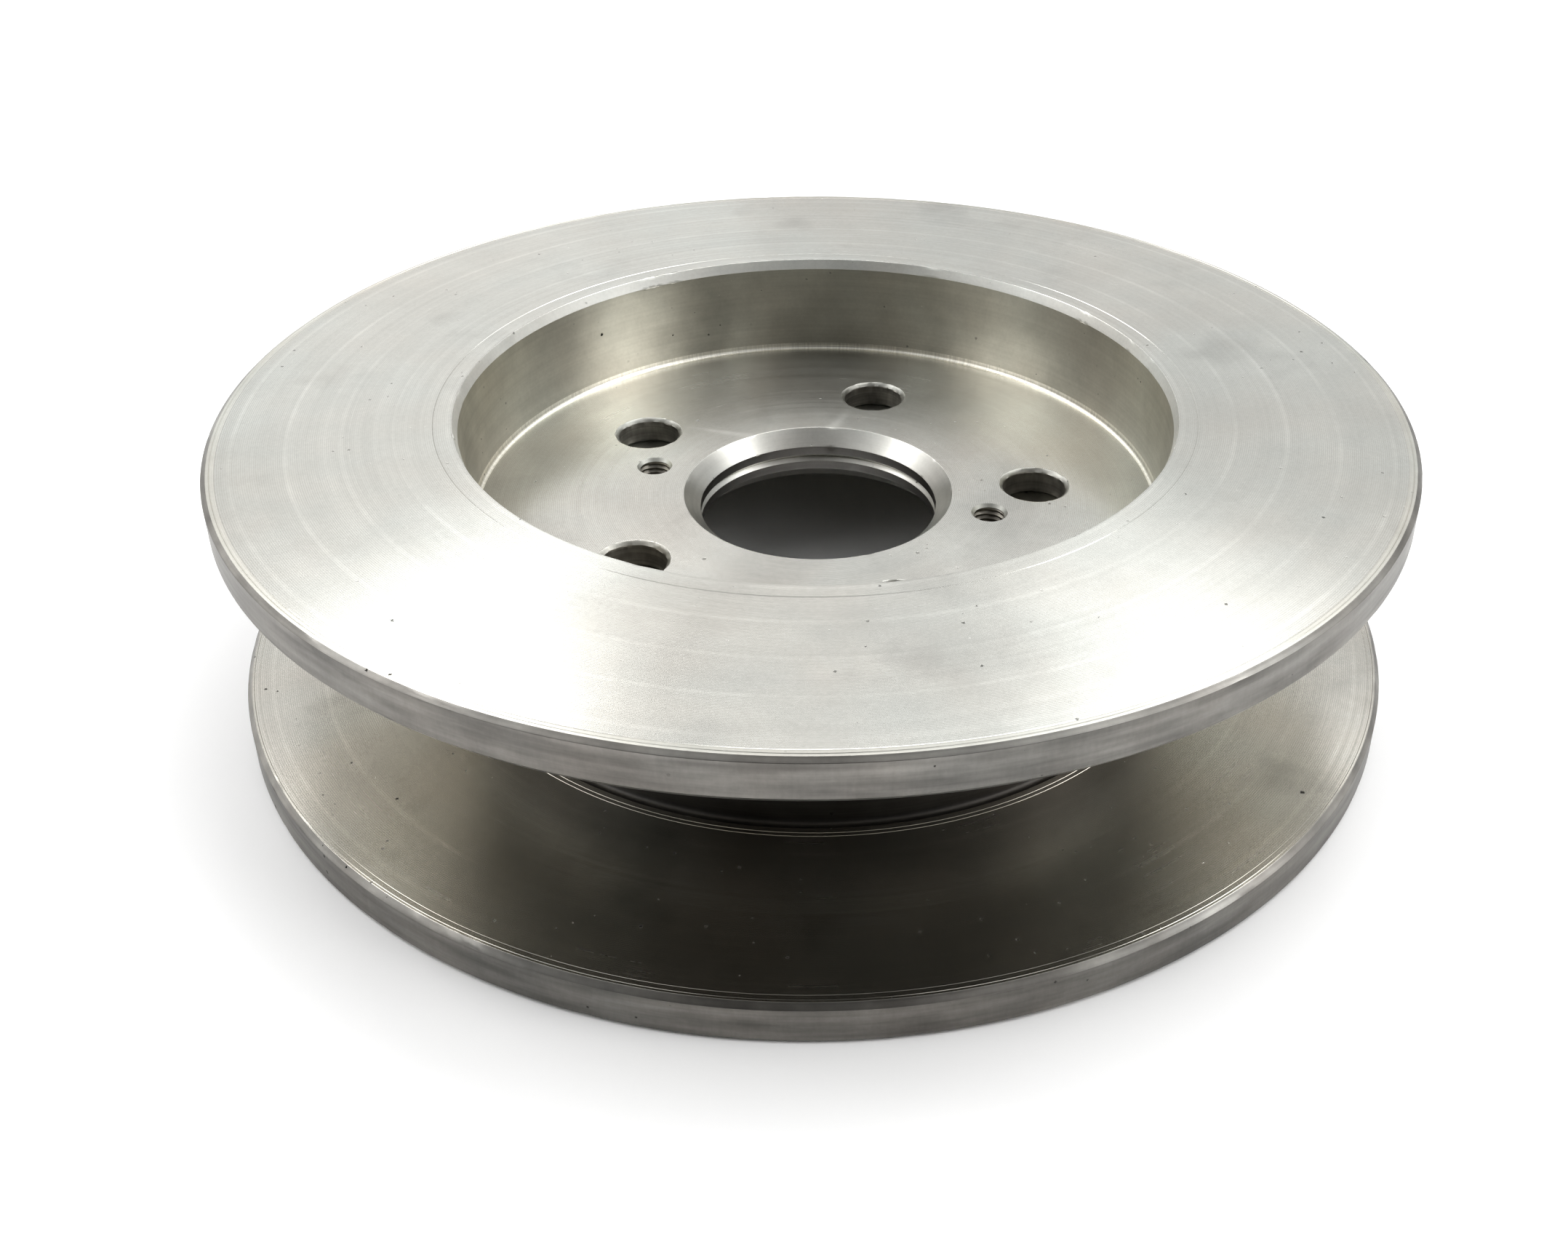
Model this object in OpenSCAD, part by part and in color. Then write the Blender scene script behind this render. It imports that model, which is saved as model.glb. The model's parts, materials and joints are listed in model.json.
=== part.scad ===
// Pair of solid, one-piece rear brake rotors, stacked hat to hat on a shared axis.
// Millimetres. +Z is the rotors' axis, the origin is on that axis in the plane that the pair lies on,
// and +X passes through the upper rotor's first lug hole.

/* [Braking ring] */
// Outside diameter of the braking ring
disc_d = 259; // [225:1:320]
// Thickness of the braking ring
ring_t = 9; // [7:0.1:14]
// Width of the bevel along the ring's outer edges, measured across the face
rim_bevel_w = 1; // [0.3:0.1:3]
// Height of the rim bevel on the hub side, measured along the rim
rim_hub_bevel_h = 0.7; // [0.2:0.1:2]
// Height of the rim bevel on the wheel side, measured along the rim
rim_wheel_bevel_h = 1.2; // [0.2:0.1:2.5]

/* [Hat] */
// Height of one rotor, from its wheel face to the hub side of its braking ring
rotor_h = 31.2; // [24:0.1:50]
// Outside diameter of the hat
hat_d = 165; // [150:0.1:180]
// Thickness of the hat's wall just under its mouth
hat_wall_t = 4; // [3:0.1:8]
// How far the hat's inner wall leans in between its mouth and its floor, on the radius
hat_draft = 1; // [0:0.1:2]
// Thickness of the hat's floor
hat_floor_t = 6.5; // [4:0.1:10]
// Width of the bevel around the hat's mouth, measured across the face
mouth_bevel_w = 0.9; // [0.3:0.1:2.5]
// Depth of the bevel around the hat's mouth
mouth_bevel_h = 2.4; // [0.3:0.1:4]
// Radius of the fillet between the hat's floor and its inner wall
floor_fillet_r = 1; // [0.4:0.1:3]
// Radius of the fillet between the hat's outer wall and the braking ring
root_fillet_r = 1.4; // [0.4:0.1:3]
// Bevel around the wheel face's outer edge
wheel_face_bevel = 1.5; // [0.3:0.1:3]

/* [Pilot bore] */
// Diameter of the bore that centres the rotor on the hub
pilot_d = 54.1; // [50:0.1:72]
// Width of the lead-in bevel on the hub side of the bore
pilot_lead_w = 3.7; // [0.5:0.1:6]
// Depth of the lead-in bevel on the hub side of the bore
pilot_lead_h = 3.5; // [0.5:0.1:3.8]
// Bevel on the wheel side of the bore
pilot_back_bevel = 0.9; // [0.2:0.1:1.5]

/* [Lug holes] */
// Number of lug holes
lug_count = 5; // [3:1:6]
// Pitch circle diameter of the lug holes
lug_pcd = 100; // [98:0.1:120]
// Diameter of a lug hole
lug_d = 14.5; // [12:0.1:16]
// Bevel at each mouth of a lug hole
lug_bevel = 0.75; // [0.2:0.05:1.5]

/* [Jack holes] */
// Number of tapped holes that screws turn in to push the rotor off its hub
jack_count = 2; // [1:1:2]
// Pitch circle diameter of the jack holes
jack_pcd = 80; // [78:0.1:92]
// Tapping diameter of a jack hole, for an M8 x 1.25 thread
jack_tap_d = 6.8; // [5:0.1:8.5]
// Bevel at each mouth of a jack hole
jack_bevel = 0.7; // [0.2:0.05:1.2]
// Angle from the first lug hole to the first jack hole, in lug hole spacings
jack_step = 2.25; // [0.25:0.5:4.25]

/* [Pair] */
// How far the lower rotor is turned from the upper one, in lug hole spacings
pair_turn = 0.5; // [0:0.25:1]

/* [Hidden] */
$fn = 180;
iron = "silver";
disc_r = disc_d / 2;
hat_r = hat_d / 2;
mouth_wall_r = hat_r - hat_wall_t;
mouth_r = mouth_wall_r + mouth_bevel_w;
floor_wall_r = mouth_wall_r - hat_draft;
pilot_r = pilot_d / 2;
ring_wheel_z = rotor_h - ring_t;
lug_pitch_angle = 360 / lug_count;
fillet_steps = 6;
cut_over = 1;

// Points of a concave quarter round of radius r about (cr, cz), from angle a0 through a quarter turn
function quarter(cr, cz, r, a0, turn) =
    [for (i = [0:fillet_steps]) let (a = a0 + turn * i / fillet_steps) [cr + r * cos(a), cz + r * sin(a)]];

// Half section of one rotor: x is the radius, y is the height above the wheel face
function rotor_outline() = concat(
    [
        [pilot_r + pilot_back_bevel, 0],
        [hat_r - wheel_face_bevel, 0],
        [hat_r, wheel_face_bevel]
    ],
    quarter(hat_r + root_fillet_r, ring_wheel_z - root_fillet_r, root_fillet_r, 180, -90),
    [
        [disc_r - rim_bevel_w, ring_wheel_z],
        [disc_r, ring_wheel_z + rim_wheel_bevel_h],
        [disc_r, rotor_h - rim_hub_bevel_h],
        [disc_r - rim_bevel_w, rotor_h],
        [mouth_r, rotor_h],
        [mouth_wall_r, rotor_h - mouth_bevel_h]
    ],
    quarter(floor_wall_r - floor_fillet_r, hat_floor_t + floor_fillet_r, floor_fillet_r, 0, -90),
    [
        [pilot_r + pilot_lead_w, hat_floor_t],
        [pilot_r, hat_floor_t - pilot_lead_h],
        [pilot_r, pilot_back_bevel]
    ]
);

// A straight hole through the hat's floor, bevelled at both mouths
module floor_hole(d, bevel) {
    translate([0, 0, -cut_over])
        cylinder(d = d, h = hat_floor_t + 2 * cut_over);
    translate([0, 0, hat_floor_t - bevel])
        cylinder(d1 = d, d2 = d + 2 * (bevel + cut_over), h = bevel + cut_over);
    translate([0, 0, -cut_over])
        cylinder(d1 = d + 2 * (bevel + cut_over), d2 = d, h = bevel + cut_over);
}

// Lug holes for the wheel studs, evenly round their pitch circle
module lug_holes() {
    for (i = [0:lug_count - 1])
        rotate([0, 0, i * lug_pitch_angle])
            translate([lug_pcd / 2, 0, 0])
                floor_hole(lug_d, lug_bevel);
}

// Tapped holes for the jack screws, opposite one another and clear of the lug holes
module jack_holes() {
    for (i = [0:jack_count - 1])
        rotate([0, 0, jack_step * lug_pitch_angle + i * 180])
            translate([jack_pcd / 2, 0, 0])
                floor_hole(jack_tap_d, jack_bevel);
}

// One rotor as it is cast and turned: wheel face at z = 0, braking ring and hat mouth at the top
module rotor() {
    difference() {
        rotate_extrude()
            polygon(rotor_outline());
        lug_holes();
        jack_holes();
    }
}

// The rotor underneath: it lies on its braking ring, with its wheel face up
module lower_rotor() {
    color(iron)
        translate([0, 0, rotor_h])
            rotate([180, 0, pair_turn * lug_pitch_angle])
                rotor();
}

// The rotor on top: its wheel face rests on the lower rotor's wheel face
module upper_rotor() {
    color(iron)
        translate([0, 0, rotor_h])
            rotor();
}

lower_rotor();
upper_rotor();
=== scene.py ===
"""A pair of machined grey-iron brake disc rotors, stacked with their wheel faces together."""
import json
import math
import random
from collections import namedtuple

import bmesh
import bpy
from mathutils import Matrix, Vector
from mathutils.geometry import delaunay_2d_cdt


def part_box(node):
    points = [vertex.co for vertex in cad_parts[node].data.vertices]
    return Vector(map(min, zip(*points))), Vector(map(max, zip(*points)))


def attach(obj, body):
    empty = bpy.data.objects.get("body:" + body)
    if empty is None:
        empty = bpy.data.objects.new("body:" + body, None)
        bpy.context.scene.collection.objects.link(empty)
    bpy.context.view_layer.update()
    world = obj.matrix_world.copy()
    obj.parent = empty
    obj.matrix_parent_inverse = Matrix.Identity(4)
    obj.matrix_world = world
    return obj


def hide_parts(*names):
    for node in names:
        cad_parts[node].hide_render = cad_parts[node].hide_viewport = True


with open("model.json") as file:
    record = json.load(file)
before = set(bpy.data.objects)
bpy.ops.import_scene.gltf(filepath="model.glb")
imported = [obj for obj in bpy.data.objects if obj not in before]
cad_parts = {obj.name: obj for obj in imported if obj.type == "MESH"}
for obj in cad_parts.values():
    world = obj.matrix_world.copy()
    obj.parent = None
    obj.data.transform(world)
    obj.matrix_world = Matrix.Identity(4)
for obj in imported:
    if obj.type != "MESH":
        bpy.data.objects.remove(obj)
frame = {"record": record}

MM = 0.001
TURN = 2 * math.pi
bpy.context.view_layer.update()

# Sizes of one rotor in mm, in its own frame: wheel face at height 0, hub side up, axis through the origin.
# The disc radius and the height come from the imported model, and so do the places of the holes.
BOX_LOW, BOX_HIGH = (Vector(corner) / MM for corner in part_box("upper_rotor"))
DISC_R = (BOX_HIGH.x - BOX_LOW.x) / 2
ROTOR_H = BOX_HIGH.z - BOX_LOW.z
RING_T = 9
RING_BACK = ROTOR_H - RING_T
RIM_BEVEL = 1
HUB_BEVEL_H = 0.7
WHEEL_BEVEL_H = 1.2
HAT_R = 82.5
HAT_FLOOR = 6.5
MOUTH_WALL_R = 78.5
MOUTH_R = 79.4
MOUTH_BEVEL_H = 2.4
FLOOR_WALL_R = 77.5
FLOOR_FILLET = 1
ROOT_FILLET = 1.4
WHEEL_BEVEL = 1.5
PILOT_R = 27.05
LEAD_W = 3.7
LEAD_H = 3.5
PILOT_BACK_BEVEL = 0.9
LUG_R = 7.25
LUG_BEVEL = 0.75
JACK_R = 3.4
JACK_BEVEL = 0.7
THREAD_PITCH = 1.25
THREAD_DEPTH = 0.55

# How finely the meshes are cut.
AROUND_DISC = 600
AROUND_PILOT = 300
AROUND_LUG = 96
AROUND_JACK = 48
THREAD_ROWS = 9  # for each turn
SUPPORT = 0.15  # mm from a rounded edge to the loop that keeps the flat beside it flat
FACE_CLEARANCE = 0.01  # mm that each wheel face stands back, so that the two faces never share a plane
SHARP_ANGLE = math.radians(32)  # edges that turn more than this are shaded as sharp

# ---------------------------------------------------------------- mesh code


class Shell:
    """The vertices and faces of one closed mesh, in mm, with the finish of each face."""

    def __init__(self):
        self.points = []
        self.faces = []
        self.finishes = []

    def loop(self, points):
        """Adds the points and returns their indices."""
        first = len(self.points)
        self.points.extend(points)
        return list(range(first, len(self.points)))

    def face(self, corners, finish):
        """Adds one face between the points with those indices."""
        self.faces.append(corners)
        self.finishes.append(finish)

    def strip(self, below, above, finish):
        """Joins two loops of the same length with quads."""
        count = len(below)
        for k in range(count):
            after = (k + 1) % count
            self.face((below[k], below[after], above[after], above[k]), finish)

    def flat(self, outer, holes, finish):
        """Fills a flat area between an outer loop and the loops of its holes."""
        rings = [outer, *holes]
        used = [index for ring in rings for index in ring]
        ring_of = [place for place, ring in enumerate(rings) for _ in ring]
        flat_points = [Vector(self.points[index][:2]) for index in used]
        edges = []
        start = 0
        for ring in rings:
            count = len(ring)
            edges.extend((start + k, start + (k + 1) % count) for k in range(count))
            start += count
        every_triangle = 0
        same_point = 1e-7
        made = delaunay_2d_cdt(flat_points, edges, [], every_triangle, same_point)
        source = [found[0] for found in made[3]]
        for triangle in made[2]:
            corners = [source[index] for index in triangle]
            touched = {ring_of[corner] for corner in corners}
            in_hole = False
            if len(touched) == 1 and touched != {0}:
                hole = [Vector(self.points[index][:2]) for index in rings[touched.pop()]]
                middle = sum((flat_points[corner] for corner in corners), Vector((0, 0))) / 3
                in_hole = is_inside(middle, hole)
            if not in_hole:
                self.face(tuple(used[corner] for corner in corners), finish)


def is_inside(spot, ring):
    """True if the spot lies inside the closed ring of flat points."""
    inside = False
    for here, there in zip(ring, ring[1:] + ring[:1]):
        if (here.y > spot.y) != (there.y > spot.y):
            crossing = here.x + (spot.y - here.y) / (there.y - here.y) * (there.x - here.x)
            inside ^= spot.x < crossing
    return inside


Corner = namedtuple("Corner", "r z bend finish wear", defaults=(0, "turned_face", None))
Point = namedtuple("Point", "r z finish wear inward")


def rounded(corners, steps=4):
    """The corners as Points, each bend replaced by an arc that is tangent to both sides."""
    points = []
    for before, corner, after in zip([None] + corners[:-1], corners, corners[1:] + [None]):
        here = Vector((corner.r, corner.z))
        if before is None or after is None or not corner.bend:
            points.append(Point(corner.r, corner.z, corner.finish, None, Vector((0, 0))))
            continue
        come = (here - Vector((before.r, before.z))).normalized()
        go = (Vector((after.r, after.z)) - here).normalized()
        half_turn = come.angle(go) / 2
        back = corner.bend * math.tan(half_turn)
        inward = (go - come).normalized()
        centre = here + inward * (corner.bend / math.cos(half_turn))
        start = here - come * back - centre
        sweep = math.copysign(2 * half_turn, come.cross(go))
        count = steps * 2 if corner.bend > 0.5 else steps
        for k in range(count + 1):
            spot = centre + Matrix.Rotation(sweep * k / count, 2) @ start
            finish = before.finish if k == 0 and corner.bend < 0.5 else corner.finish
            finish = corner.finish if k == count else finish
            points.append(Point(spot.x, spot.y, finish, corner.wear, inward))
    return points


def supported(points):
    """Adds points close to the ends of every long straight side, so that shading stays flat between them."""
    nothing = Vector((0, 0))
    result = []
    for here, there in zip(points, points[1:]):
        start, end = Vector((here.r, here.z)), Vector((there.r, there.z))
        length = (end - start).length
        near = [SUPPORT] if length > 4 * SUPPORT else []
        near += [4 * SUPPORT] if length > 16 * SUPPORT else []
        result.append(here)
        for distance in near + [length - step for step in reversed(near)]:
            spot = start.lerp(end, distance / length)
            result.append(Point(spot.x, spot.y, here.finish, None, nothing))
    result.append(points[-1])
    return result


def groove(radius, height, width, depth, finish):
    """Three corners of a fine V-groove cut downwards into a face, from the axis outwards."""
    half = width / 2
    return [
        Corner(radius - half, height, 0, finish),
        Corner(radius, height - depth, 0, finish),
        Corner(radius + half, height, 0, finish),
    ]


def disc_outline():
    """Half section of the rotor from the hat floor, over the braking ring, to the wheel face."""
    hub_face = [
        Corner(MOUTH_R, ROTOR_H, 0.14, "turned_face", "mouth"),
        *groove(83.4, ROTOR_H, 0.26, 0.09, "turned_face"),
        *groove(126.9, ROTOR_H, 0.12, 0.03, "ring_band"),
        *groove(127.8, ROTOR_H, 0.16, 0.07, "ring_band"),
        Corner(DISC_R - RIM_BEVEL, ROTOR_H, 0.12, "edge_bevel", "rim"),
    ]
    wheel_side = [
        Corner(DISC_R - RIM_BEVEL, RING_BACK, 0.12, "turned_back", "back"),
        *reversed(groove(128, RING_BACK, 0.16, -0.07, "turned_back")),
        *reversed(groove(126.9, RING_BACK, 0.12, -0.04, "turned_back")),
        *reversed(groove(86.2, RING_BACK, 0.2, -0.08, "turned_back")),
        *reversed(groove(85.2, RING_BACK, 0.2, -0.08, "turned_back")),
    ]
    return [
        Corner(FLOOR_WALL_R - 1.6, HAT_FLOOR, 0, "hat_floor"),
        Corner(FLOOR_WALL_R, HAT_FLOOR, FLOOR_FILLET, "corner_fillet"),
        Corner(FLOOR_WALL_R + 0.02, HAT_FLOOR + 1.6, 0, "hat_wall"),
        Corner(MOUTH_WALL_R, ROTOR_H - MOUTH_BEVEL_H, 0.2, "mouth_bevel", "mouth"),
        *hub_face,
        Corner(DISC_R, ROTOR_H - HUB_BEVEL_H, 0.15, "rim", "rim"),
        Corner(DISC_R, RING_BACK + WHEEL_BEVEL_H, 0.15, "edge_bevel", "back"),
        *wheel_side,
        # The hat's outer wall and its root fillet take a near-black finish: painted shade for the narrow slot
        # between the two rotors
        Corner(HAT_R, RING_BACK, ROOT_FILLET, "hat_outside"),
        Corner(HAT_R, WHEEL_BEVEL, 0.3, "bevel"),
        Corner(HAT_R - WHEEL_BEVEL, FACE_CLEARANCE, 0.3, "wheel_face"),
        Corner(HAT_R - WHEEL_BEVEL - 1, FACE_CLEARANCE, 0, "wheel_face"),
    ]


def pilot_outline():
    """Half section of the pilot bore from the hat floor down to the wheel face."""
    outer = PILOT_R + LEAD_W
    back = PILOT_R + PILOT_BACK_BEVEL
    return [
        Corner(outer + 0.6, HAT_FLOOR, 0, "hat_floor"),
        Corner(outer, HAT_FLOOR, 0.15, "bevel", "pilot"),
        Corner(PILOT_R, HAT_FLOOR - LEAD_H, 0.15, "bore", "pilot"),
        Corner(PILOT_R, PILOT_BACK_BEVEL + FACE_CLEARANCE, 0.12, "bevel"),
        Corner(back, FACE_CLEARANCE, 0.12, "wheel_face"),
        Corner(back + 0.6, FACE_CLEARANCE, 0, "wheel_face"),
    ]


def dents(rng, count, amount, deepest):
    """How far a worn edge is pushed in, in mm, at each of count steps round it: a little, with some nicks."""
    waves = [(rng.uniform(0, TURN), rng.randint(5, 90)) for _ in range(9)]
    depth = []
    for k in range(count):
        wave = sum(math.sin(start + turns * TURN * k / count) for start, turns in waves) / len(waves)
        depth.append(max(0, wave) * 0.02)
    for _ in range(amount):
        middle = rng.randrange(count)
        reach = rng.choice((0, 1, 1, 2))
        push = rng.uniform(0.3, 1) * deepest
        for step in range(-reach, reach + 1):
            k = (middle + step) % count
            depth[k] = max(depth[k], push * (1 - abs(step) / (reach + 1)))
    return depth


def lathe(shell, points, count, wear):
    """Turns Points round the axis and returns the first and last loop.

    wear gives the dents of each worn edge.
    """
    turns = [TURN * k / count for k in range(count)]
    ways = [(math.cos(turn), math.sin(turn)) for turn in turns]
    untouched = [0] * count
    loops = []
    for point in points:
        push = wear.get(point.wear, untouched)
        ring = []
        for (x, y), depth in zip(ways, push):
            r = point.r + point.inward.x * depth
            ring.append((r * x, r * y, point.z + point.inward.y * depth))
        loops.append(shell.loop(ring))
    for point, below, above in zip(points, loops, loops[1:]):
        shell.strip(below, above, point.finish)
    return loops[0], loops[-1]


def ragged(rng, count, size):
    """A smooth random waviness round a hole, in mm."""
    waves = [(rng.uniform(0, TURN), rng.randint(2, 17)) for _ in range(8)]
    share = size / math.sqrt(len(waves))
    return [
        share * sum(math.sin(start + turns * TURN * k / count) for start, turns in waves)
        for k in range(count)
    ]


def ring_about(centre, radii, heights):
    """The points of one loop round a hole's centre."""
    count = len(radii)
    result = []
    for k, (radius, height) in enumerate(zip(radii, heights)):
        turn = TURN * k / count
        result.append((centre.x + radius * math.cos(turn), centre.y + radius * math.sin(turn), height))
    return result


def lug_hole(shell, centre, rng):
    """A drilled hole with a countersink that chattered a little. Returns its top and bottom loop."""
    rows = [  # radius, height, waviness, finish of the band below
        (LUG_R + LUG_BEVEL + 0.4, HAT_FLOOR, 0, "hat_floor"),
        (LUG_R + LUG_BEVEL + 0.12, HAT_FLOOR, 0.07, "chamfer"),
        (LUG_R + LUG_BEVEL, HAT_FLOOR - 0.05, 0.06, "chamfer"),
        (LUG_R + LUG_BEVEL / 2, HAT_FLOOR - LUG_BEVEL / 2, 0.05, "chamfer"),
        (LUG_R + 0.06, HAT_FLOOR - LUG_BEVEL, 0.09, "hole_wall"),
        (LUG_R, HAT_FLOOR - LUG_BEVEL - 0.2, 0.05, "hole_wall"),
        (LUG_R, HAT_FLOOR * 0.62, 0.03, "hole_wall"),
        (LUG_R - 0.02, HAT_FLOOR * 0.38, 0.03, "hole_wall"),
        (LUG_R, LUG_BEVEL + 0.3, 0.03, "hole_wall"),
        (LUG_R + 0.03, LUG_BEVEL + 0.05, 0.04, "chamfer"),
        (LUG_R + LUG_BEVEL, FACE_CLEARANCE, 0.03, "chamfer"),
    ]
    loops = []
    for radius, height, wave, _ in rows:
        radii = [radius + bump for bump in ragged(rng, AROUND_LUG, wave)]
        loops.append(shell.loop(ring_about(centre, radii, [height] * AROUND_LUG)))
    for row, above, below in zip(rows, loops, loops[1:]):
        shell.strip(above, below, row[3])
    return loops[0], loops[-1]


def thread_depth(turn, height, top, bottom):
    """Depth in mm of the helical V-thread at one spot of the wall. It fades out at both ends."""
    place = (height / THREAD_PITCH - turn / TURN) % 1
    cut = max(0, 1 - abs(place - 0.5) * 2.6)
    fade = min(1, (top - height) / 0.4, (height - bottom) / 0.4)
    return THREAD_DEPTH * min(cut, 0.9) * max(0, fade)


def jack_hole(shell, centre, rng):
    """A tapped hole: countersink, helical thread, countersink. Returns its top and bottom loop."""
    top = HAT_FLOOR - JACK_BEVEL
    bottom = JACK_BEVEL
    turns = [TURN * k / AROUND_JACK for k in range(AROUND_JACK)]
    outer = [JACK_R + JACK_BEVEL + bump for bump in ragged(rng, AROUND_JACK, 0.03)]
    loops = [shell.loop(ring_about(centre, outer, [HAT_FLOOR] * AROUND_JACK))]
    rows = round((top - bottom) / THREAD_PITCH * THREAD_ROWS)
    for row in range(rows + 1):
        height = top + (bottom - top) * row / rows
        radii = [JACK_R + thread_depth(turn, height, top, bottom) for turn in turns]
        loops.append(shell.loop(ring_about(centre, radii, [height] * AROUND_JACK)))
    back = [JACK_R + JACK_BEVEL] * AROUND_JACK
    loops.append(shell.loop(ring_about(centre, back, [FACE_CLEARANCE] * AROUND_JACK)))
    for place, (above, below) in enumerate(zip(loops, loops[1:])):
        at_end = place in (0, len(loops) - 2)
        shell.strip(above, below, "chamfer" if at_end else "thread")
    return loops[0], loops[-1]


# ---------------------------------------------------------------- shader code


def add(tree, kind, inputs=None, **settings):
    """A shader node with its settings and inputs. An input given as a socket is linked."""
    made = tree.nodes.new(kind)
    for name, value in settings.items():
        setattr(made, name, value)
    for name, value in (inputs or {}).items():
        if isinstance(value, bpy.types.NodeSocket):
            tree.links.new(value, made.inputs[name])
        else:
            made.inputs[name].default_value = value
    return made


def calc(tree, operation, *values, clamp=False):
    """A Math node's result."""
    inputs = dict(enumerate(values))
    return add(tree, "ShaderNodeMath", inputs, operation=operation, use_clamp=clamp).outputs[0]


def vector_calc(tree, operation, first, second=None, scale=None):
    """A Vector Math node's vector."""
    inputs = {0: first}
    if second is not None:
        inputs[1] = second
    if scale is not None:
        inputs["Scale"] = scale
    return add(tree, "ShaderNodeVectorMath", inputs, operation=operation).outputs["Vector"]


def noise(tree, place, scale=1.0, detail=2.0, roughness=0.5):
    """A noise pattern from 0 to 1."""
    inputs = {"Vector": place, "Scale": scale, "Detail": detail, "Roughness": roughness}
    return add(tree, "ShaderNodeTexNoise", inputs).outputs[0]


def remap(tree, value, low, high, to_low=0.0, to_high=1.0):
    """The value moved from one range to another, and held within it."""
    inputs = {"Value": value, "From Min": low, "From Max": high, "To Min": to_low, "To Max": to_high}
    return add(tree, "ShaderNodeMapRange", inputs).outputs[0]


def blend_colour(tree, amount, first, second, how="MIX"):
    """A mix of two colours, each given as a value or a socket."""
    mix = add(tree, "ShaderNodeMix", data_type="RGBA", blend_type=how)
    for socket, value in ((mix.inputs[0], amount), (mix.inputs[6], first), (mix.inputs[7], second)):
        if isinstance(value, bpy.types.NodeSocket):
            tree.links.new(value, socket)
        else:
            socket.default_value = value
    return mix.outputs[2]


Place = namedtuple("Place", "point way radius height")


def place_on_rotor(tree):
    """Where the shaded spot is, in mm: the point, its direction from the axis, its radius and height."""
    position = add(tree, "ShaderNodeTexCoord").outputs["Object"]
    point = vector_calc(tree, "SCALE", position, scale=1 / MM)
    across = vector_calc(tree, "MULTIPLY", point, (1, 1, 0))
    radius = add(tree, "ShaderNodeVectorMath", {0: across}, operation="LENGTH").outputs["Value"]
    way = vector_calc(tree, "NORMALIZE", across)
    height = add(tree, "ShaderNodeSeparateXYZ", {0: point}).outputs[2]
    return Place(point, way, radius, height)


def lathe_marks(tree, place, across, per_mm, around, detail=2.0):
    """Noise drawn out round the axis, as a cutting tool leaves it."""
    along = vector_calc(tree, "SCALE", place.way, scale=around)
    step = add(tree, "ShaderNodeCombineXYZ", {2: calc(tree, "MULTIPLY", across, per_mm)}).outputs[0]
    return noise(tree, vector_calc(tree, "ADD", along, step), detail=detail)


Finish = namedtuple(
    "Finish",
    "tone across roughness spread grooves marks bands stretch depth patches pits streaks lines",
    defaults=(0.0, 0.0),
)
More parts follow.
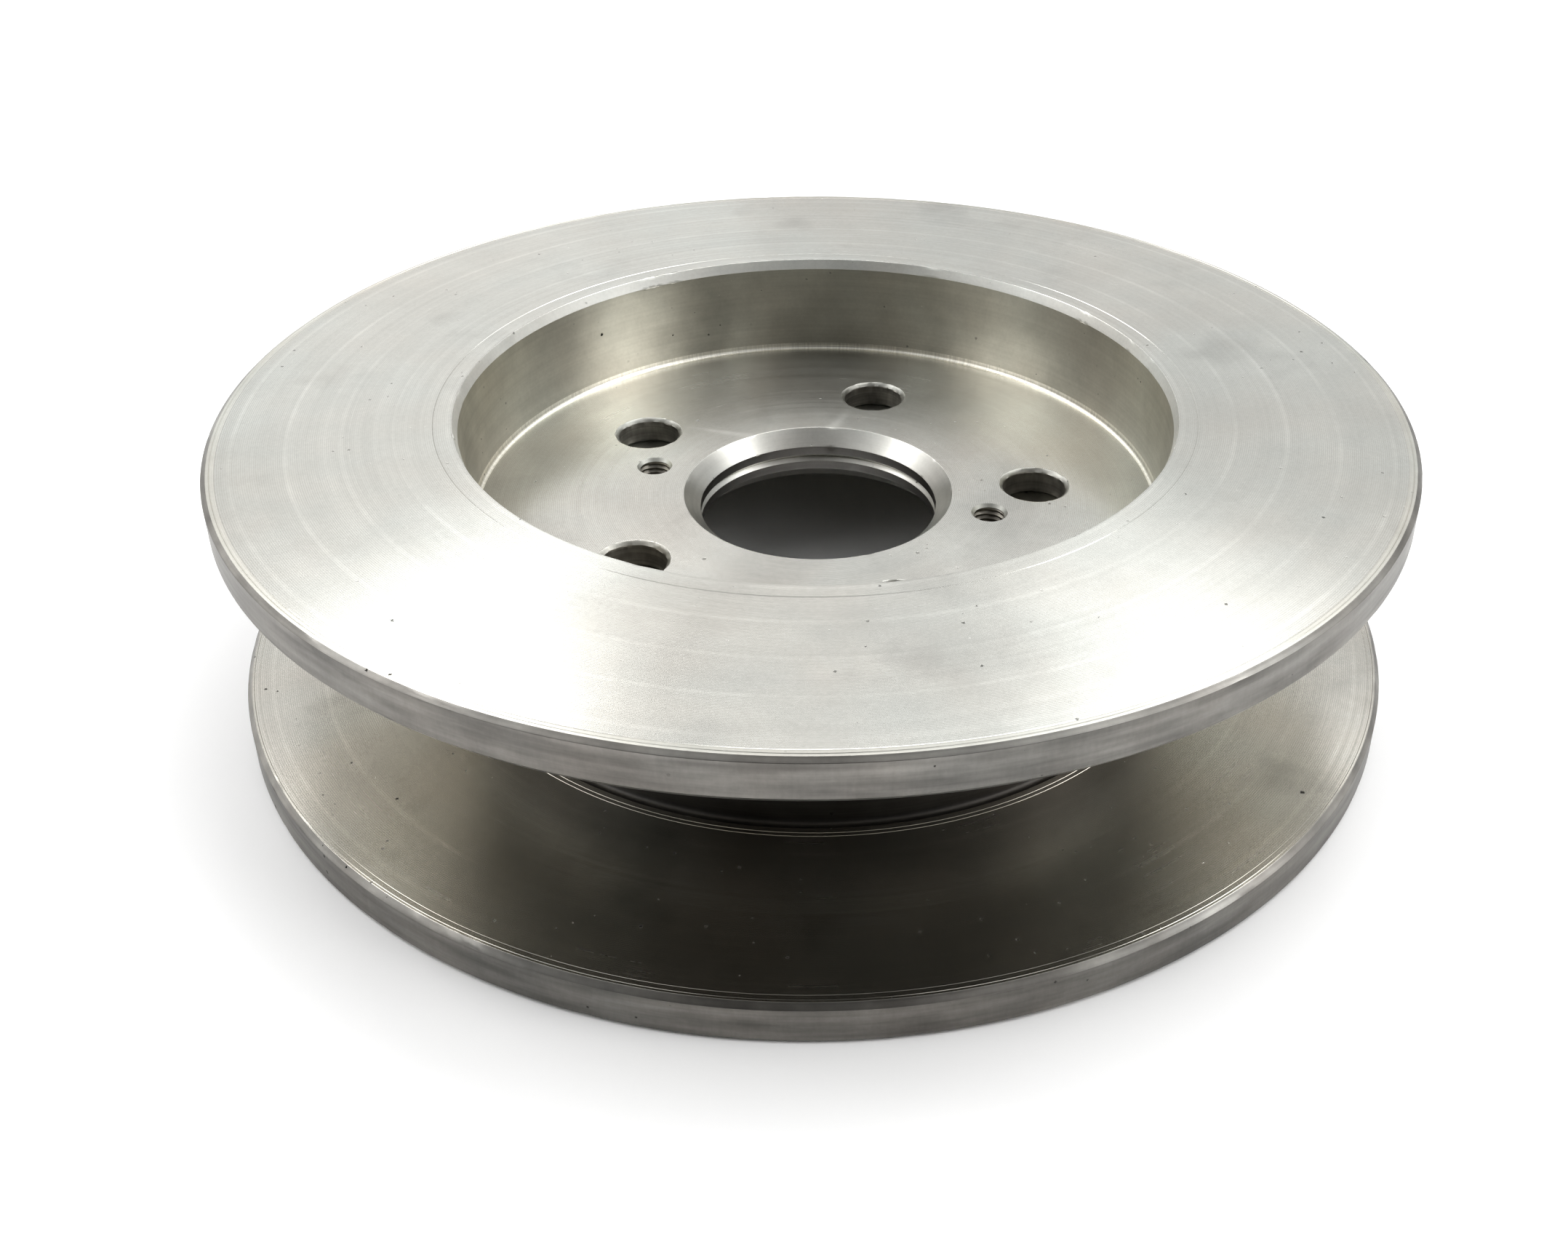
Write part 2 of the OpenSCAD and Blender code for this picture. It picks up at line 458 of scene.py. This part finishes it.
# tone: base colour. across: what the tool marks change with, FACE or WALL.
# roughness, spread: roughness of the gloss, and how far the tool marks stretch it (anisotropy).
# grooves, marks, bands: how far the regular, the fine uneven and the broad tool marks change the tone.
# stretch: how often a band changes in a turn. depth: relief of the marks, as a share of MARK_DEPTH.
# patches, pits, streaks, lines: how far they change the tone. Smudges and bright specks follow pits.
MARK_DEPTH = 0.0035  # mm, relief of the tool marks
PIT_DEPTH = 0.05  # mm
GROOVE_PITCH = 0.42  # mm the tool moved in one turn
LINE_PITCH = 10.9  # mm between the faint light rings on a braking face
LINE_START = 4.1  # mm, the radius that those rings are counted from
SMUDGE = 0.16  # how much darker a handling smudge is than clean metal
FACE = "radius"
WALL = "height"
FINISHES = {
    "turned_face": Finish(
        (0.62, 0.615, 0.585), FACE, 0.25, 0.78, 0.07, 0.025, 0.02, 0.8, 1.0, 0.04, 0.65, lines=1.0
    ),
    "turned_back": Finish(
        (0.575, 0.56, 0.525), FACE, 0.25, 0.78, 0.08, 0.025, 0.02, 0.8, 1.0, 0.04, 0.8, lines=1.0
    ),
    "ring_band": Finish((0.62, 0.61, 0.57), FACE, 0.30, 0.6, 0.06, 0.04, 0.05, 1.0, 1.0, 0.06, 0.8),
    "edge_bevel": Finish((0.31, 0.30, 0.285), FACE, 0.40, 0.2, 0.0, 0.12, 0.22, 9.0, 1.0, 0.25, 0.9),
    "rim": Finish((0.235, 0.226, 0.214), WALL, 0.38, 0.3, 0.0, 0.05, 0.26, 5.0, 0.8, 0.15, 0.5, 0.12),
    "mouth_bevel": Finish((0.78, 0.775, 0.75), FACE, 0.54, 0.0, 0.0, 0.04, 0.06, 1.0, 0.6, 0.08, 0.9),
    "bevel": Finish((0.56, 0.555, 0.53), FACE, 0.34, 0.3, 0.0, 0.04, 0.04, 1.0, 0.6, 0.08, 0.6),
    "hat_wall": Finish((0.55, 0.535, 0.485), WALL, 0.39, 0.35, 0.0, 0.03, 0.03, 1.0, 0.15, 0.14, 0.9),
    "corner_fillet": Finish((0.78, 0.76, 0.70), FACE, 0.38, 0.2, 0.0, 0.03, 0.03, 1.0, 0.5, 0.05, 0.5, 0.45),
    "hat_floor": Finish((0.60, 0.59, 0.56), FACE, 0.25, 0.7, 0.07, 0.02, 0.02, 1.0, 0.5, 0.06, 0.5),
    "bore": Finish((0.34, 0.33, 0.32), WALL, 0.34, 0.3, 0.0, 0.05, 0.05, 1.0, 0.6, 0.08, 0.3),
    "chamfer": Finish((0.42, 0.415, 0.39), FACE, 0.46, 0.0, 0.0, 0.06, 0.10, 4.0, 1.0, 0.25, 0.6),
    "hole_wall": Finish((0.33, 0.315, 0.29), WALL, 0.55, 0.0, 0.0, 0.20, 0.30, 4.0, 4.0, 0.50, 0.5, 0.4),
    "thread": Finish((0.34, 0.32, 0.29), WALL, 0.42, 0.0, 0.0, 0.05, 0.10, 4.0, 1.0, 0.30, 0.4),
    # The near-black tone of the hat's outer wall is painted shade for the narrow slot between the two rotors,
    # where this wall is seen
    "hat_outside": Finish((0.13, 0.125, 0.12), WALL, 0.45, 0.2, 0.0, 0.08, 0.12, 2.0, 1.0, 0.20, 0.4),
    "wheel_face": Finish((0.55, 0.545, 0.52), FACE, 0.30, 0.6, 0.05, 0.03, 0.04, 1.0, 1.0, 0.08, 0.6),
}


def specks(tree, place, per_mm, share, smallest, largest):
    """Small ragged spots (0 to 1) in a share of the cells of a scatter, with their sizes in cells."""
    cells = add(tree, "ShaderNodeTexVoronoi", {"Vector": place.point, "Scale": per_mm, "Randomness": 1.0})
    chance = add(tree, "ShaderNodeSeparateColor", {0: cells.outputs["Color"]})
    size = remap(tree, chance.outputs[1], 0.0, 1.0, smallest, largest)
    ragged_edge = remap(tree, noise(tree, place.point, 3.5, 2.0), 0.3, 0.7, -0.7 * smallest, 0.7 * smallest)
    inside = calc(tree, "SUBTRACT", size, calc(tree, "ADD", cells.outputs["Distance"], ragged_edge))
    spot = calc(tree, "MULTIPLY", inside, 2.5 / smallest, clamp=True)
    chosen = calc(tree, "GREATER_THAN", chance.outputs[0], 1.0 - share)
    return calc(tree, "MULTIPLY", spot, chosen)


def iron(name, finish):
    """Machined grey iron: tool marks, patches of tint, pits and the stretched gloss that fine marks give."""
    material = bpy.data.materials.new(name)
    material.use_nodes = True
    tree = material.node_tree
    shader = tree.nodes["Principled BSDF"]
    place = place_on_rotor(tree)
    across = place.radius if finish.across == FACE else place.height

    def vary(level, pattern, amount):
        """Multiplies the level by 1 plus or minus the amount, as the pattern goes."""
        return calc(tree, "MULTIPLY", level, remap(tree, pattern, 0.3, 0.7, 1 - amount, 1 + amount))

    uneven = lathe_marks(tree, place, across, 1.4, 0.7, 3.0)
    bands = lathe_marks(tree, place, across, 0.3, finish.stretch, 3.0)
    beat = calc(tree, "SINE", calc(tree, "MULTIPLY", across, TURN / GROOVE_PITCH))
    regular = remap(tree, beat, -1.0, 1.0, 0.3, 0.7)
    patches = noise(tree, place.point, 0.045, 4.0, 0.6)
    grain = noise(tree, place.point, 1.3, 3.0, 0.6)
    crowd = remap(tree, noise(tree, place.point, 0.03, 2.0, 0.5), 0.46, 0.62)
    off_mouth = calc(tree, "ABSOLUTE", calc(tree, "SUBTRACT", place.radius, MOUTH_R + 2))
    knocked = remap(tree, noise(tree, place.point, 0.05, 2.0, 0.5), 0.47, 0.56)
    by_mouth = calc(tree, "MULTIPLY", remap(tree, off_mouth, 3.5, 2.0), knocked)
    small = specks(tree, place, 0.34, 0.34, 0.05, 0.13)
    small = calc(tree, "MULTIPLY", small, calc(tree, "MAXIMUM", crowd, by_mouth))
    pit = calc(tree, "MAXIMUM", specks(tree, place, 0.08, 0.45, 0.018, 0.045), small)
    scar = calc(tree, "MULTIPLY", specks(tree, place, 0.30, 0.16, 0.035, 0.07), crowd)

    level = remap(tree, uneven, 0.3, 0.7, 1 - finish.marks, 1 + finish.marks)
    level = vary(level, bands, finish.bands)
    if finish.grooves:
        clear = remap(tree, patches, 0.35, 0.6, 0.3, 1.0)
        shown = calc(tree, "MULTIPLY", calc(tree, "SUBTRACT", regular, 0.5), clear)
        level = vary(level, calc(tree, "ADD", shown, 0.5), finish.grooves)
    level = vary(level, patches, finish.patches)
    level = vary(level, grain, 0.03)
    smudge = remap(tree, noise(tree, place.point, 0.035, 3.0, 0.55), 0.58, 0.70)
    level = calc(tree, "MULTIPLY", level, calc(tree, "MULTIPLY_ADD", smudge, -SMUDGE * finish.pits, 1.0))
    if finish.streaks:
        if finish.across == WALL:
            streaks = noise(tree, vector_calc(tree, "MULTIPLY", place.point, (1.1, 1.1, 0.2)), 1.0, 3.0, 0.6)
        else:
            streaks = noise(tree, vector_calc(tree, "SCALE", place.way, scale=140.0), 1.0, 2.0, 0.5)
        level = vary(level, streaks, 0.25 * finish.streaks)
    if finish.lines:
        past = calc(tree, "PINGPONG", calc(tree, "SUBTRACT", place.radius, LINE_START), LINE_PITCH / 2)
        line = remap(tree, past, 0.7, 0.2)
        strength = remap(tree, patches, 0.4, 0.62, 0.03, 0.08 * finish.lines)
        level = calc(tree, "MULTIPLY", level, calc(tree, "MULTIPLY_ADD", line, strength, 1.0))
    level = calc(tree, "MULTIPLY", level, calc(tree, "MULTIPLY_ADD", pit, -finish.pits, 1.0))
    level = calc(tree, "MULTIPLY", level, calc(tree, "MULTIPLY_ADD", scar, 0.3 * finish.pits, 1.0))

    warm = (*(channel * tint for channel, tint in zip(finish.tone, (1.015, 1.0, 0.98))), 1)
    cool = (*(channel * tint for channel, tint in zip(finish.tone, (0.985, 1.003, 1.0))), 1)
    tint = remap(tree, noise(tree, place.point, 0.02, 3.0, 0.6), 0.35, 0.65)
    tone = blend_colour(tree, tint, warm, cool)
    grey = add(tree, "ShaderNodeCombineColor", {0: level, 1: level, 2: level}).outputs[0]
    colour = blend_colour(tree, 1.0, tone, grey, "MULTIPLY")

    shine = remap(tree, uneven, 0.3, 0.7, finish.roughness + 0.02, finish.roughness - 0.02)
    shine = calc(tree, "MULTIPLY_ADD", patches, 0.06, calc(tree, "SUBTRACT", shine, 0.03))
    shine = calc(tree, "MULTIPLY_ADD", pit, 0.25, shine, clamp=True)
    relief = calc(tree, "ADD", calc(tree, "MULTIPLY", regular, 0.9), calc(tree, "MULTIPLY", uneven, 0.35))
    relief = calc(tree, "MULTIPLY", relief, MARK_DEPTH * finish.depth)
    relief = calc(tree, "MULTIPLY_ADD", pit, -PIT_DEPTH, relief)
    bump = add(tree, "ShaderNodeBump", {"Height": relief, "Distance": MM, "Strength": 1.0})
    tangent = add(tree, "ShaderNodeTangent", direction_type="RADIAL", axis="Z")

    tree.links.new(colour, shader.inputs["Base Color"])
    tree.links.new(shine, shader.inputs["Roughness"])
    tree.links.new(bump.outputs[0], shader.inputs["Normal"])
    tree.links.new(tangent.outputs[0], shader.inputs["Tangent"])
    shader.inputs["Metallic"].default_value = 1.0
    shader.inputs["Anisotropic"].default_value = finish.spread
    shader.inputs["Anisotropic Rotation"].default_value = 0.25
    return material


# ---------------------------------------------------------------- the two rotors

MATERIALS = {name: iron(name, finish) for name, finish in FINISHES.items()}


def hole_centres(side, kind, placement):
    """Where the record's mounts put this rotor's holes, in mm in the rotor's own frame."""
    back = placement.inverted()
    start = f"{side}_{kind}"
    places = [mount["pos_m"] for mount in frame["record"]["mounts"] if mount["name"].startswith(start)]
    return [back @ Vector(place) / MM for place in places]


def make_rotor(side, placement, seed):
    """One rotor as a single closed mesh that stands for its CAD node."""
    rng = random.Random(seed)
    shell = Shell()
    wear = {
        "mouth": dents(rng, AROUND_DISC, 16, 0.22),
        "rim": dents(rng, AROUND_DISC, 20, 0.12),
        "back": dents(rng, AROUND_DISC, 20, 0.12),
    }
    top, bottom = lathe(shell, supported(rounded(disc_outline())), AROUND_DISC, wear)
    pilot_wear = {"pilot": dents(rng, AROUND_PILOT, 8, 0.12)}
    holes = [lathe(shell, supported(rounded(pilot_outline())), AROUND_PILOT, pilot_wear)]
    holes += [lug_hole(shell, centre, rng) for centre in hole_centres(side, "lug_hole", placement)]
    holes += [jack_hole(shell, centre, rng) for centre in hole_centres(side, "jack_hole", placement)]
    shell.flat(top, [hole[0] for hole in holes], "hat_floor")
    shell.flat(bottom, [hole[1] for hole in holes], "wheel_face")

    mesh = bpy.data.meshes.new(f"{side}_rotor_iron")
    turned = placement.to_3x3()
    mesh.from_pydata([turned @ Vector(point) * MM for point in shell.points], [], shell.faces)
    names = list(MATERIALS)
    for name in names:
        mesh.materials.append(MATERIALS[name])
    mesh.polygons.foreach_set("material_index", [names.index(finish) for finish in shell.finishes])
    face_outwards(mesh)
    mesh.polygons.foreach_set("use_smooth", [True] * len(mesh.polygons))
    mesh.set_sharp_from_angle(angle=SHARP_ANGLE)
    piece = bpy.data.objects.new(f"{side}_rotor_iron", mesh)
    bpy.context.scene.collection.objects.link(piece)
    piece.location = placement.to_translation()
    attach(piece, f"{side}_disc")
    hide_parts(f"{side}_rotor")


def face_outwards(mesh):
    """Turns every face of the closed mesh to the outside."""
    work = bmesh.new()
    work.from_mesh(mesh)
    bmesh.ops.recalc_face_normals(work, faces=work.faces)
    work.to_mesh(mesh)
    work.free()


PAIR_TURN = math.radians(36)
MEETING = BOX_LOW.z * MM
UPPER = Matrix.Translation((0, 0, MEETING))
LOWER = UPPER @ Matrix.Rotation(PAIR_TURN, 4, "Z") @ Matrix.Rotation(math.pi, 4, "X")
make_rotor("upper", UPPER, 11)
make_rotor("lower", LOWER, 23)

# ---------------------------------------------------------------- floor, light and camera


def make_floor():
    """A pale floor that fills the view, just low enough not to share a plane with the object's underside."""
    half = 4.0
    low = -0.1 * MM
    corners = [(-half, -half, low), (half, -half, low), (half, half, low), (-half, half, low)]
    mesh = bpy.data.meshes.new("floor")
    mesh.from_pydata(corners, [], [(0, 1, 2, 3)])
    floor = bpy.data.objects.new("floor", mesh)
    bpy.context.scene.collection.objects.link(floor)
    material = bpy.data.materials.new("floor_paint")
    material.use_nodes = True
    tree = material.node_tree
    shader = tree.nodes["Principled BSDF"]
    position = add(tree, "ShaderNodeTexCoord").outputs["Object"]
    cloud = noise(tree, position, 6.0, 3.0, 0.5)
    tone = blend_colour(tree, cloud, (0.93, 0.93, 0.93, 1), (0.95, 0.95, 0.95, 1))
    tree.links.new(tone, shader.inputs["Base Color"])
    shader.inputs["Roughness"].default_value = 0.6
    mesh.materials.append(material)
    return floor


def make_lamp(name, azimuth, elevation, distance, width, height, power):
    """A soft rectangular lamp that looks at the object. Azimuth 0 is +X and 90 is behind the object."""
    target = Vector((0, 0, 0.03))
    turn, lift = math.radians(azimuth), math.radians(elevation)
    way = Vector((math.cos(lift) * math.cos(turn), math.cos(lift) * math.sin(turn), math.sin(lift)))
    lamp = bpy.data.lights.new(name, "AREA")
    lamp.shape = "RECTANGLE"
    lamp.size = width
    lamp.size_y = height
    lamp.energy = power
    thing = bpy.data.objects.new(name, lamp)
    thing.location = way * distance + target
    thing.rotation_euler = (-way).to_track_quat("-Z", "Y").to_euler()
    bpy.context.scene.collection.objects.link(thing)
    return thing


def light_only(lamp, thing):
    """Makes the lamp light that thing and nothing else."""
    chosen = bpy.data.collections.new(f"{lamp.name}_target")
    chosen.objects.link(thing)
    lamp.light_linking.receiver_collection = chosen


def make_camera():
    """The camera at the photograph's place and angle, for an image of 2156 x 1710."""
    position = Vector((-9.4, -330.7, 223.9)) * MM
    pan, tilt, roll = 0.0647, -0.5293, 0.0126
    ahead = Vector((math.sin(pan) * math.cos(tilt), math.cos(pan) * math.cos(tilt), math.sin(tilt)))
    right = Vector((math.cos(pan), -math.sin(pan), 0))
    up = right.cross(ahead)
    leaning_right = right * math.cos(roll) + up * math.sin(roll)
    leaning_up = up * math.cos(roll) - right * math.sin(roll)
    camera = bpy.data.cameras.new("camera")
    camera.sensor_width = 36
    camera.lens = 37.9
    camera.shift_x = -0.0550
    camera.shift_y = -0.0674
    camera.clip_start = 0.01
    camera.clip_end = 50
    thing = bpy.data.objects.new("camera", camera)
    axes = Matrix((leaning_right, leaning_up, -ahead)).transposed().to_4x4()
    thing.matrix_world = Matrix.Translation(position) @ axes
    bpy.context.scene.collection.objects.link(thing)
    bpy.context.scene.camera = thing


def make_world():
    """A white studio round the back and sides of the object, and a dim one behind the camera."""
    world = bpy.data.worlds.new("studio")
    world.use_nodes = True
    tree = world.node_tree
    direction = add(tree, "ShaderNodeTexCoord").outputs["Generated"]
    towards_back = add(tree, "ShaderNodeSeparateXYZ", {0: direction}).outputs[1]
    level = remap(tree, towards_back, -0.7, 0.1, 0.06, 1.0)
    background = tree.nodes["Background"]
    tree.links.new(level, background.inputs["Color"])
    background.inputs["Strength"].default_value = 0.64
    bpy.context.scene.world = world


floor = make_floor()
make_world()
make_lamp("right_rear_softbox", 40, 62, 1.2, 0.5, 0.5, 2.3)
make_lamp("right_high_softbox", 8, 50, 1.2, 0.4, 0.3, 0.9)
make_lamp("overhead_softbox", 90, 70, 1.2, 0.3, 0.3, 1.0)
make_lamp("left_rear_softbox", 157, 50, 1.2, 0.45, 0.3, 1.8)
make_lamp("left_low_strip", 104, 25, 1.2, 0.5, 0.35, 0.1)
make_lamp("left_strip", 119, 47, 1.2, 0.4, 0.35, 1.1)
make_lamp("right_strip", 60, 44, 1.2, 0.3, 0.35, 0.4)
make_lamp("left_side_softbox", 195, 29, 1.2, 0.6, 0.5, 1.5)
make_lamp("right_side_softbox", 340, 27, 1.2, 0.6, 0.5, 2.5)
make_lamp("front_right_fill", 300, 38, 1.2, 0.5, 0.5, 0.6)
make_lamp("front_left_fill", 228, 46, 1.2, 0.5, 0.5, 0.4)
light_only(make_lamp("table_left", 200, 50, 1.6, 1.2, 1.2, 2.5), floor)
light_only(make_lamp("table_right", 340, 50, 1.6, 1.2, 1.2, 2.5), floor)
make_camera()
bpy.context.scene.view_settings.view_transform = "Standard"
bpy.context.scene.view_settings.look = "High Contrast"
